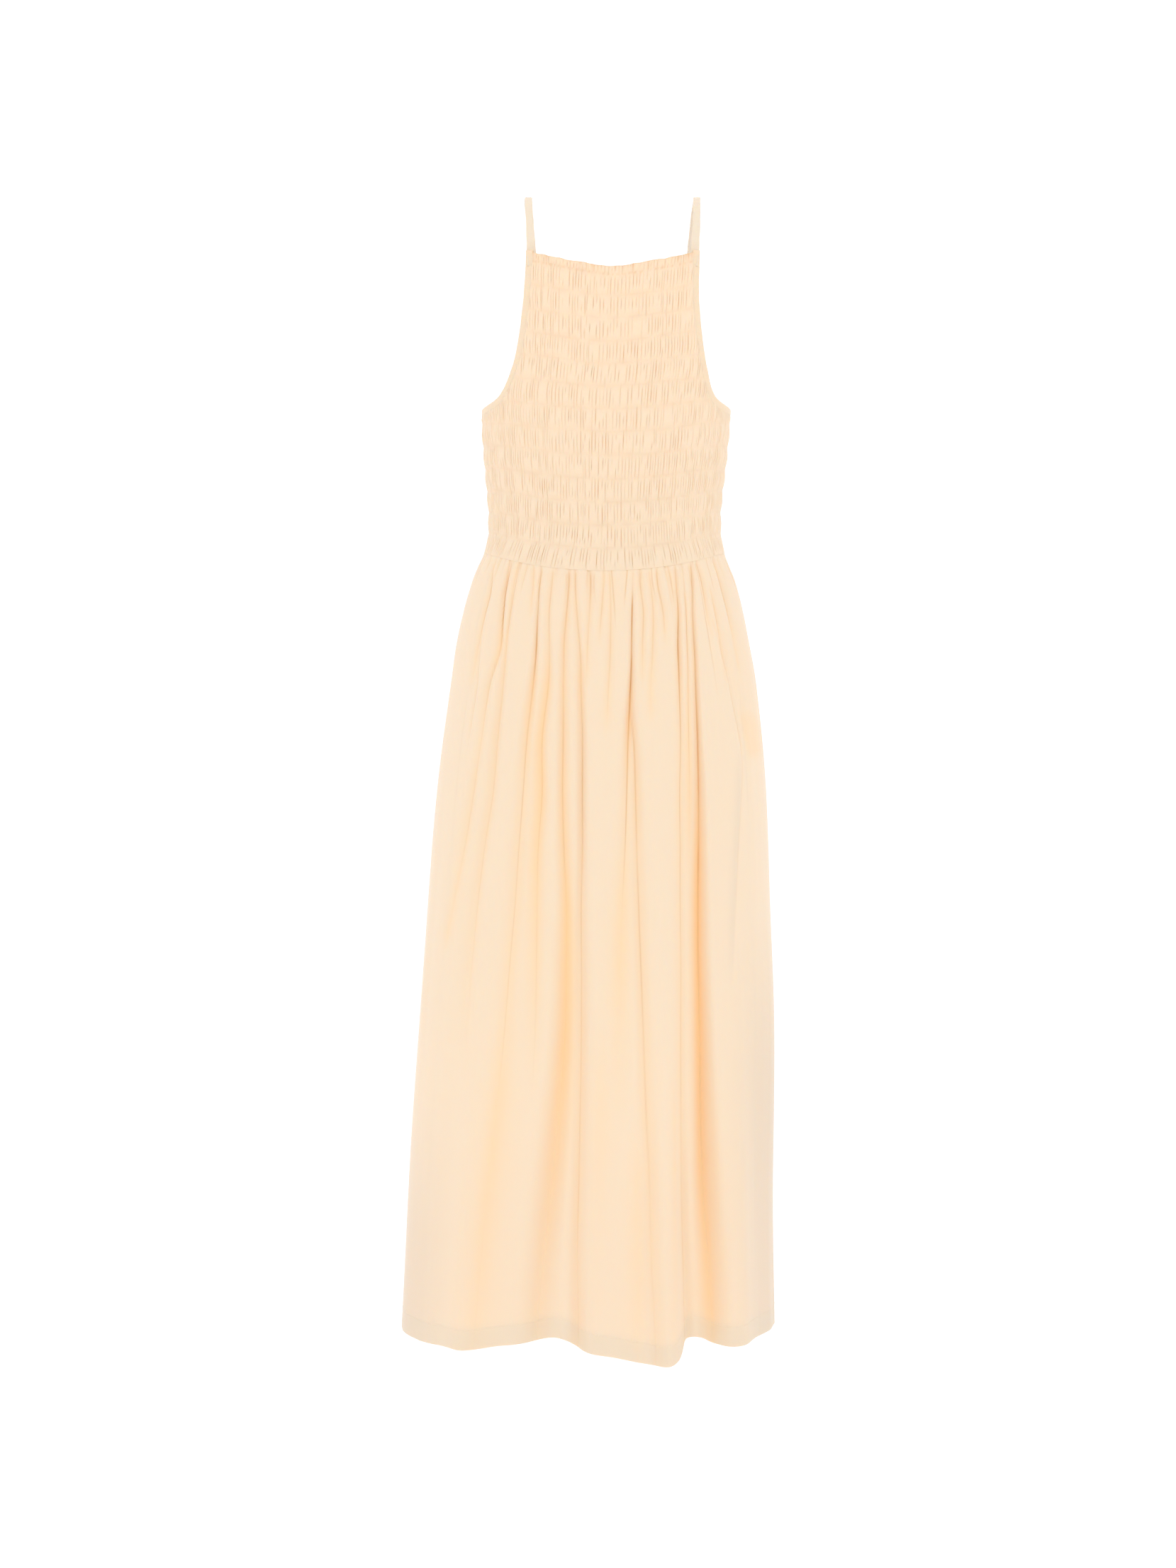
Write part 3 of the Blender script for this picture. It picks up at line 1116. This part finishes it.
def add_waist_gathers(cloth):
    """The gathers of the last shirring row run on into the skirt for a finger's width."""
    turn, _, below, depth, _, crease = cloth
    span = turn * WAIST_GIRTH
    gathers = noise_line(span + 4000, 1.9, 12) + 0.6 * noise_line(span + 4400, 3.3, 13)
    fade = np.exp(-np.maximum(below, 0) / 9)
    depth -= 0.22 * gathers * fade
    depth += 0.87 * (below < -0.5) - 0.12 * bump_at(below, 2.5)
    np.maximum(crease, 0.4 * np.clip(-gathers - 0.5, 0, 1) * fade, out=crease)


def add_side_seams(cloth, side):
    """A side seam draws in, and the pocket in it stands a little open."""
    turn, z, _, depth, _, crease = cloth
    edge = from_side_seam(side, turn)
    mouth = ramp(-z, POCKET_TOP - 12, POCKET_TOP + 14, POCKET_END - 14, POCKET_END + 12)
    pucker = 0.2 * noise_line(z + 2000, 6, 16)
    depth += (0.05 + (pucker + 0.2) * mouth) * bump_at(edge, 1.8 + 1.5 * mouth)
    np.maximum(crease, 0.05 * mouth * bump_at(edge, 0.9), out=crease)


def add_pocket_glow(cloth):
    """Light through the pocket bag on the wearer's left, strongest near its round lower end."""
    turn, z, _, _, glow, _ = cloth
    behind = smooth_step(turn, math.radians(66), math.radians(104))
    bag = smooth_step(np.sin(turn) - 0.0009 * (-z - 520), 0.76, 0.8) * (1 - behind)
    bag = bag * ramp(-z, 470, 530, 638, 650)
    lower_end = smooth_step(-z - 16 * behind, 584, 598) * (1 - smooth_step(-z + 16 * behind, 632, 644))
    np.maximum(glow, (0.08 + 0.2 * lower_end) * bag, out=glow)


def second_layer(cloth, share):
    """How strongly a second layer behind the cloth stops the light: the turned hem, the back of the
    lower skirt, most of all at its sides, and the seam of the pocket bag."""
    across = np.sin(cloth.turn)
    down = -cloth.z
    hem = bpy.context.scene.dress_skirt.hem / MM
    turned = smooth_step(share, 1 - (hem + 0.5) / SKIRT_LENGTH, 1 - (hem - 1.5) / SKIRT_LENGTH)
    left = smooth_step(across, 0.64, 0.97) * smooth_step(down, 780, 1040)
    right = smooth_step(-across, 0.55, 1.0) * smooth_step(down, 980, 1220)
    from_bag_seam = across - 0.832 + 0.0004 * np.clip(down - 640, 0, 250)
    bag_seam = bump_at(from_bag_seam, np.where(from_bag_seam > 0, 0.008, 0.035))
    bag_seam = bag_seam * ramp(down, 620, 680, 820, 920)
    layers = (
        0.36 * turned[:, None], 0.2 * smooth_step(down, 1000, 1230), 0.95 * left, 0.85 * right,
        0.5 * bag_seam,
    )
    return np.maximum.reduce([np.broadcast_to(layer, down.shape) for layer in layers])


def add_skirt_panel(side):
    """One gathered panel, from behind the bodice's lower edge down to the hem."""
    share = np.r_[-TUCK / SKIRT_LENGTH, np.linspace(0, 1, SKIRT_ROWS) ** 1.45]
    cloth = skirt_surface(side, share)
    add_pleats(cloth, side, np.random.RandomState(SKIRT_SEEDS[side]))
    add_waist_gathers(cloth)
    add_side_seams(cloth, side)
    add_pocket_glow(cloth)
    places = figure_place(cloth.turn, cloth.z, SKIRT_OUT - cloth.depth)
    tints = {"hollow": cloth.glow, "double": second_layer(cloth, share), "crease": cloth.crease}
    obj = cloth_panel(f"{side}_skirt_cloth", places, **tints)
    thicken(obj, bpy.context.scene.dress_skirt.wall, -1)
    finish_piece(obj, woven_cotton, f"skirt_{side}")


def add_hem_turn(side):
    """The hem allowance, turned up and pressed inside the skirt."""
    hem = bpy.context.scene.dress_skirt.hem / MM
    cloth = skirt_surface(side, np.linspace(1 - hem / SKIRT_LENGTH, 0.9996, 9))
    places = figure_place(cloth.turn, cloth.z, HEM_OUT - cloth.depth)
    obj = cloth_panel(f"{side}_hem_turn_cloth", places)
    thicken(obj, HEM_WALL, -1)
    finish_piece(obj, woven_cotton, f"hem_turn_{side}")


# Bindings and straps

BINDING_RINGS = 220
BINDING_STEP = 1.45  # millimetres from one ring to the next
BINDING_HOLLOW = 0.1
STRAP_PALE = 0.3  # how pale a strap is in front
BACK_STRAP_PALE = 0.75
STRAP_RINGS = 170
STRAP_STEP = 2.3
TUBE_WALL = 0.4 * MM
STRAP_SHIFTS = {1: 2.5, -1: 3.5}  # how far the wearer's left and right strap shift out at the back


def binding_outline(width):
    """A strip folded over an edge: (beyond the edge, out from the inner face) of its outline."""
    lip, outer, skin, inner = 0.35, 1.2, 0.65, -0.35
    arc = np.linspace(math.pi / 2, -math.pi / 2, 7)
    middle = (outer + inner) / 2
    big = (outer - inner) / 2 + skin
    small = (outer - inner) / 2
    around = [(lip + big * math.cos(a) * 0.8, middle + big * math.sin(a)) for a in arc]
    within = [(lip + small * math.cos(a) * 0.8, middle + small * math.sin(a)) for a in arc[::-1]]
    outside = [(-width, outer + 0.1), (-width - 0.15, outer + skin * 0.55), (-width + 0.5, outer + skin)]
    outside += [(-width * k, outer + skin + 0.12 * math.sin(math.pi * k)) for k in (0.7, 0.45, 0.2)]
    inside = [(-width + 0.5, inner - skin), (-width - 0.1, inner - skin * 0.5), (-width, inner - 0.05)]
    return np.array(outside + around + inside + within)


def edge_frame(count):
    """Turn, height, girth and the direction along the armhole edge at evenly spaced places."""
    turn, z = armhole_edge(count)
    girth = girth_per_turn(turn, z)
    along = np.stack([np.gradient(turn) * girth, np.gradient(z)], axis=1)
    along /= np.linalg.norm(along, axis=1, keepdims=True)
    return turn, z, girth, along


def on_edge(rows, side, beyond, out):
    """Places beyond the armhole edge on the figure's surface."""
    turn, z, girth, along = rows
    here = turn - along[:, 1] * beyond / girth
    return figure_place(side * here, z + along[:, 0] * beyond, out)


def add_binding(word, side):
    """The strip over one armhole's edge, which puckers a little."""
    width = bpy.context.scene.dress_trim.binding / MM
    rows = edge_frame(BINDING_RINGS)
    run = np.arange(BINDING_RINGS) * BINDING_STEP
    pucker = 0.16 * noise_line(run + 300 * (side + 2), 4.2, 21) + 0.1 * noise_line(run + 90, 1.9, 22)
    rings = []
    for beyond, out in binding_outline(width):
        lift = np.where(out > 0.5, pucker, -0.4 * pucker) * (1 if beyond < 0 else 0.4)
        rings.append(on_edge(rows, side, beyond + 0.12 * noise_line(run + 40, 7, 23), out + lift))
    obj = sweep_mesh(f"{word}_armhole_binding_cloth", np.stack(rings, axis=1))
    set_tints(obj, hollow=BINDING_HOLLOW)
    finish_piece(obj, woven_cotton, f"armhole_binding_{word}")


def strap_frame(side):
    """Middle line, outward and sideways directions and width of a strap."""
    lean = value_at(column(FIGURE, "z"), column(FIGURE, "lean"), np.array(column(STRAP, "z")))
    places = [
        (k + side * (p.out + STRAP_SHIFTS[side] * smooth_step(p.y, -40, 60)), p.y, p.z, p.wide)
        for k, p in zip(lean, STRAP)
    ]
    curve = spline(places, STRAP_RINGS)
    middle, wide = curve[:, :3], curve[:, 3]
    along = np.gradient(middle, axis=0)
    along /= np.linalg.norm(along, axis=1, keepdims=True)
    out = np.cross(along, np.array([1.0, 0, 0]))
    out /= np.linalg.norm(out, axis=1, keepdims=True)
    flip = np.where(out[:, 2:] + 0.6 * out[:, 1:2] * np.sign(middle[:, 1:2]) < 0, -1.0, 1.0)
    out = out * flip
    across = np.cross(out, along)
    return middle, out, across, wide


def add_strap(word, side):
    """A tube of cloth pressed flat, with a dent along each edge where it is topstitched."""
    thick = bpy.context.scene.dress_trim.strap / MM
    middle, out, across, wide = strap_frame(side)
    run = np.arange(STRAP_RINGS) * STRAP_STEP
    thick = thick * (1 + 0.4 * np.exp(-((run / 26) ** 2)))
    wobble = 0.25 * noise_line(run + 10 + 200 * side, 9, 31)
    around = []
    for a in np.linspace(0, 2 * math.pi, 20, endpoint=False):
        c, s = math.cos(a), math.sin(a)
        x = math.copysign(abs(c) ** 0.35, c)
        y = math.copysign(abs(s) ** 0.6, s)
        around.append((x, y, 1 - 0.1 * math.exp(-((abs(x) - 0.74) / 0.1) ** 2)))
    lines = []
    for x, y, dent in around:
        place = middle + across * (x * wide / 2 + wobble)[:, None]
        lines.append(place + out * (y * dent * thick / 2)[:, None])
    rings = np.stack(lines, axis=1)
    obj = sweep_mesh(f"{word}_strap_cloth", rings, with_ends=False)
    front = STRAP_PALE * smooth_step(rings[..., 2], -92, -55)
    back = smooth_step(rings[..., 1], -20, 60)
    set_tints(obj, pale=front + (BACK_STRAP_PALE - front) * back)
    thicken(obj, TUBE_WALL, -1)
    finish_piece(obj, woven_cotton, f"strap_{word}")


# Stitching

ROW_STITCH_PLACES = 500
TRIM_STITCH_PLACES = 400
ROW_GAP = 1.1  # between the ends of neighbouring stitches
SEAM_STITCH_GAP = 0.7
HEM_LINE = 2.0  # how far below the top of the hem allowance it is stitched


def run_of_stitches(places, outs, length, gap):
    """Starts, ends and outward directions of the stitches of one seam along a line."""
    run = np.r_[0, np.cumsum(np.linalg.norm(np.diff(places, axis=0), axis=1))]
    at = np.arange(gap, run[-1] - length - gap, length + gap)

    def pick(values, where):
        return np.stack([np.interp(where, run, values[:, k]) for k in range(3)], axis=1)

    return pick(places, at), pick(places, at + length), pick(outs, at + length / 2)


def surface_line(turn, z, out):
    """A line on the figure with its outward directions."""
    places = figure_place(turn, z, out)
    outs = figure_place(turn, z, out + 1.0) - places
    return places, outs


def join_runs(name, runs, wide=0.5, high=0.28):
    """Makes the stitches of several seams one piece of thread."""
    starts, ends, outs = (np.concatenate([run[k] for run in runs]) for k in range(3))
    outs = outs / np.linalg.norm(outs, axis=1, keepdims=True)
    finish_piece(stitches(name, starts, ends, outs, wide, high), spun_thread)


def add_row_stitches(side):
    """Elastic shirring thread along every row."""
    is_front = side == "front"
    length = bpy.context.scene.dress_trim.stitch / MM
    bands = FRONT_BANDS if is_front else BACK_BANDS
    middle = 0.0 if is_front else math.pi
    runs = []
    for row in range(bands + 1):
        drop = FIRST_ROW + row * ROW_PITCH - (1.2 if row == bands else 0)
        turn = middle + np.linspace(-math.pi / 2, math.pi / 2, ROW_STITCH_PLACES)
        z = row_height(drop, turn, is_front)
        keep = armhole_distance(turn, z) > 7.5
        places, outs = surface_line(turn[keep], z[keep], OUT_OF_INSIDE + 0.8)
        starts, ends, normals = run_of_stitches(places, outs, length * 0.75, ROW_GAP)
        near = np.linalg.norm(ends - starts, axis=1) < 2 * length
        runs.append((starts[near], ends[near], normals[near]))
    join_runs(f"{side}_shirring_thread", runs, 0.35, 0.15)


def add_hem_stitches(side):
    """The hem is held by one line of stitching near the top of its allowance."""
    sizes = bpy.context.scene.dress_skirt
    length = bpy.context.scene.dress_trim.stitch / MM
    share = 1 - (sizes.hem / MM - HEM_LINE) / SKIRT_LENGTH
    cloth = skirt_surface(side, np.array([share]))
    places = figure_place(cloth.turn[0], cloth.z[0], SKIRT_OUT - cloth.depth[0])
    along = np.gradient(places, axis=0)
    outs = np.stack([along[:, 1], -along[:, 0], 0 * along[:, 0]], axis=1)
    outs /= np.linalg.norm(outs, axis=1, keepdims=True)
    join_runs(f"{side}_hem_thread", [run_of_stitches(places, outs, length, SEAM_STITCH_GAP)])


def add_trim_stitches(word, side):
    """Topstitching on the binding and along both edges of the strap."""
    trim = bpy.context.scene.dress_trim
    length = trim.stitch / MM
    rows = edge_frame(TRIM_STITCH_PLACES)
    places = on_edge(rows, side, -trim.binding / MM + 1.1, 1.9)
    outs = on_edge(rows, side, -trim.binding / MM + 1.1, 2.9) - places
    runs = [run_of_stitches(places, outs, length, SEAM_STITCH_GAP)]
    middle, out, across, wide = strap_frame(side)
    for edge in (-1, 1):
        for face in (-1, 1):
            line = middle + across * (edge * (wide / 2 - 1.3))[:, None]
            line = line + out * face * trim.strap / MM * 0.44
            runs.append(run_of_stitches(line, out * face, length, SEAM_STITCH_GAP))
    join_runs(f"{word}_trim_thread", runs, 0.35, 0.12)


# Declaring what each piece of cloth was cut to


# Operators


class DRESS_OT_bodice(bpy.types.Operator):
    """Make the two shirred bodice panels"""

    bl_idname = "dress.bodice"
    bl_label = "Bodice"

    def execute(self, context):
        for side in ("front", "back"):
            add_bodice_panel(side)
        return {"FINISHED"}


class DRESS_OT_skirt(bpy.types.Operator):
    """Make the two gathered skirt panels"""

    bl_idname = "dress.skirt"
    bl_label = "Skirt"

    def execute(self, context):
        for side in ("front", "back"):
            add_skirt_panel(side)
        return {"FINISHED"}


class DRESS_OT_hem(bpy.types.Operator):
    """Turn up the hem inside the skirt"""

    bl_idname = "dress.hem"
    bl_label = "Hem"

    def execute(self, context):
        for side in ("front", "back"):
            add_hem_turn(side)
        return {"FINISHED"}


class DRESS_OT_trim(bpy.types.Operator):
    """Make the armhole bindings and the straps"""

    bl_idname = "dress.trim"
    bl_label = "Bindings and straps"

    def execute(self, context):
        for word, side in (("left", 1), ("right", -1)):
            add_binding(word, side)
            add_strap(word, side)
        return {"FINISHED"}


class DRESS_OT_stitching(bpy.types.Operator):
    """Sew the shirring, the hem, the bindings and the straps"""

    bl_idname = "dress.stitching"
    bl_label = "Stitching"

    def execute(self, context):
        for side in ("front", "back"):
            add_row_stitches(side)
            add_hem_stitches(side)
        for word, side in (("left", 1), ("right", -1)):
            add_trim_stitches(word, side)
        return {"FINISHED"}


class DRESS_OT_cut(bpy.types.Operator):
    """State the flat cut of every piece of cloth"""

    bl_idname = "dress.cut"
    bl_label = "Flat cut"

    def execute(self, context):
        return {"FINISHED"}


def add_area(name, place, target, size, power):
    """A white area light that faces its target."""
    light = bpy.data.lights.new(name, "AREA")
    light.shape = "RECTANGLE"
    light.size, light.size_y = size
    light.energy = power
    obj = bpy.data.objects.new(name, light)
    obj.location = place
    obj.rotation_euler = (Vector(target) - Vector(place)).to_track_quat("-Z", "Y").to_euler()
    bpy.context.scene.collection.objects.link(obj)


CAMERA_X = -0.0279
CAMERA_Z = -0.67
FRAME_HEIGHT = 1.7917  # metres seen from top to bottom at the plane of the side seams
SENSOR = 36.0


class DRESS_OT_stage(bpy.types.Operator):
    """Set up the floor, the light and the camera"""

    bl_idname = "dress.stage"
    bl_label = "Stage"

    def execute(self, context):
        scene = context.scene
        stage = scene.dress_stage
        bpy.ops.object.select_all(action="DESELECT")
        bpy.ops.mesh.primitive_plane_add(size=14, location=(0, 0, stage.floor_z))
        floor = context.active_object
        floor.name = "studio_floor"
        floor.data.materials.append(material_from(painted_floor))

        world = bpy.data.worlds.new("white_room")
        world.use_nodes = True
        background = world.node_tree.nodes["Background"]
        background.inputs["Color"].default_value = (1, 1, 1, 1)
        background.inputs["Strength"].default_value = stage.sky
        scene.world = world
        add_area("key", (-0.1, -3.0, 0.0), (0, 0, -0.6), (2.6, 1.8), stage.key)

        camera = bpy.data.cameras.new("camera")
        camera.sensor_fit = "AUTO"
        camera.sensor_width = SENSOR
        camera.lens = SENSOR * stage.distance / FRAME_HEIGHT
        obj = bpy.data.objects.new("camera", camera)
        obj.location = (CAMERA_X, -stage.distance, CAMERA_Z)
        obj.rotation_euler = (math.pi / 2, 0, 0)
        scene.collection.objects.link(obj)
        scene.camera = obj
        scene.view_settings.view_transform = "Standard"
        scene.view_settings.look = "None"
        return {"FINISHED"}


class DRESS_PT_sidebar(bpy.types.Panel):
    """The steps that make the dress"""

    bl_idname = "DRESS_PT_sidebar"
    bl_label = "Smocked dress"
    bl_space_type = "VIEW_3D"
    bl_region_type = "UI"
    bl_category = "Dress"

    def draw(self, context):
        for group in GROUPS:
            box = self.layout.box()
            settings = getattr(context.scene, group)
            for name in settings.__annotations__:
                box.prop(settings, name)
        for step in STEPS:
            self.layout.operator(step.bl_idname)


GROUPS = {
    "dress_cloth": DressCloth,
    "dress_bodice": DressBodice,
    "dress_skirt": DressSkirt,
    "dress_trim": DressTrim,
    "dress_stage": DressStage,
}
STEPS = (
    DRESS_OT_stage,
    DRESS_OT_bodice,
    DRESS_OT_skirt,
    DRESS_OT_hem,
    DRESS_OT_trim,
    DRESS_OT_stitching,
    DRESS_OT_cut,
)


def register():
    for group, kind in GROUPS.items():
        bpy.utils.register_class(kind)
        setattr(bpy.types.Scene, group, bpy.props.PointerProperty(type=kind))
    for kind in (*STEPS, DRESS_PT_sidebar):
        bpy.utils.register_class(kind)


def unregister():
    for kind in (DRESS_PT_sidebar, *reversed(STEPS)):
        bpy.utils.unregister_class(kind)
    for group, kind in reversed(GROUPS.items()):
        delattr(bpy.types.Scene, group)
        bpy.utils.unregister_class(kind)


def main():
    register()
    bpy.ops.dress.stage()
    bpy.ops.dress.bodice()
    bpy.ops.dress.skirt()
    bpy.ops.dress.hem()
    bpy.ops.dress.trim()
    bpy.ops.dress.stitching()
    bpy.ops.dress.cut()


if __name__ == "__main__":
    main()
